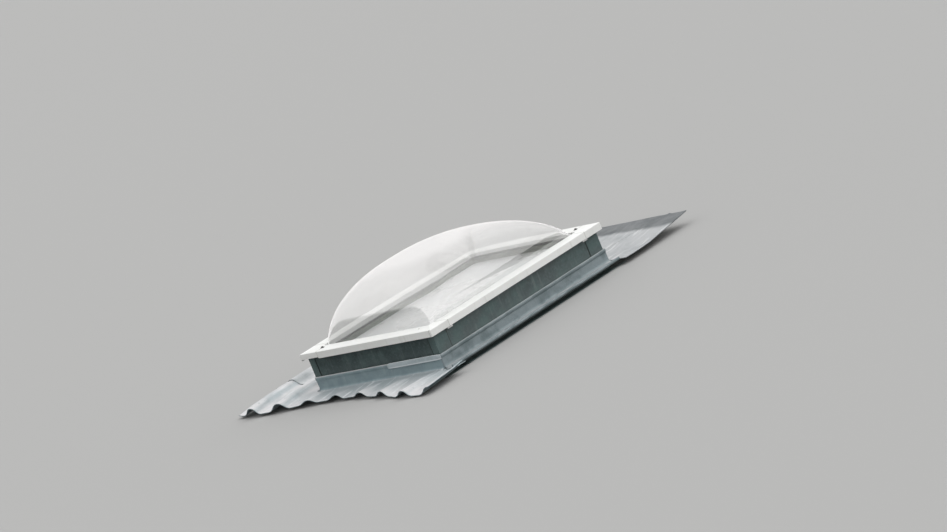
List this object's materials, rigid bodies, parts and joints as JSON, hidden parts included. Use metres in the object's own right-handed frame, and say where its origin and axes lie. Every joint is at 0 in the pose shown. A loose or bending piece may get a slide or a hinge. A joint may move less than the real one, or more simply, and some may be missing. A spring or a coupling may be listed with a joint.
{
  "type": "domed rooflight",
  "caption": "Fixed domed rooflight: a clear formed dome clamped by a white frame on an upstand kerb, with dressed lead flashings.",
  "frame": {"origin": "centre of the kerb's foot, on the roof plane", "axes": "+X across the slope to the right, +Y up the slope, +Z square to the roof plane and outwards"},
  "size_m": [1.1506, 1.5906, 0.3524],
  "materials": {
    "dome_acrylic": "clear formed acrylic sheet, 3 mm",
    "pane_acrylic": "flat clear sheet, 4 mm",
    "frame_white": "white coated extrusion, lightly weathered",
    "seal_rubber": "black sponge strip",
    "screw_steel": "dulled zinc-plated steel",
    "clip_metal": "folded mill-finish strip",
    "kerb_sheet": "dark blue-grey coated sheet, weathered",
    "timber": "planed softwood",
    "lead_sheet": "weathered milled lead with a pale patina"
  },
  "bodies": {
    "root": {"board_screws": "screw_steel", "cladding_back": "kerb_sheet", "cladding_front": "kerb_sheet", "cladding_left": "kerb_sheet", "cladding_right": "kerb_sheet", "dome": "dome_acrylic", "dome_seal": "seal_rubber", "frame_back": "frame_white", "frame_corner_back_left": "frame_white", "frame_corner_back_right": "frame_white", "frame_corner_front_left": "frame_white", "frame_corner_front_right": "frame_white", "frame_front": "frame_white", "frame_gasket": "seal_rubber", "frame_left": "frame_white", "frame_right": "frame_white", "frame_screws": "screw_steel", "frame_washers": "screw_steel", "inner_pane": "pane_acrylic", "kerb_board_back": "timber", "kerb_board_front": "timber", "kerb_board_left": "timber", "kerb_board_right": "timber", "kerb_corner_back_left": "kerb_sheet", "kerb_corner_back_right": "kerb_sheet", "kerb_corner_front_left": "kerb_sheet", "kerb_corner_front_right": "kerb_sheet", "lead_apron": "lead_sheet", "lead_back_gutter": "lead_sheet", "lead_side_left": "lead_sheet", "lead_side_right": "lead_sheet", "lead_top_strip": "lead_sheet", "pane_bead_back": "timber", "pane_bead_front": "timber", "pane_bead_left": "timber", "pane_bead_right": "timber", "pane_tape": "seal_rubber", "skirt_clips": "clip_metal"}
  },
  "joints": []
}
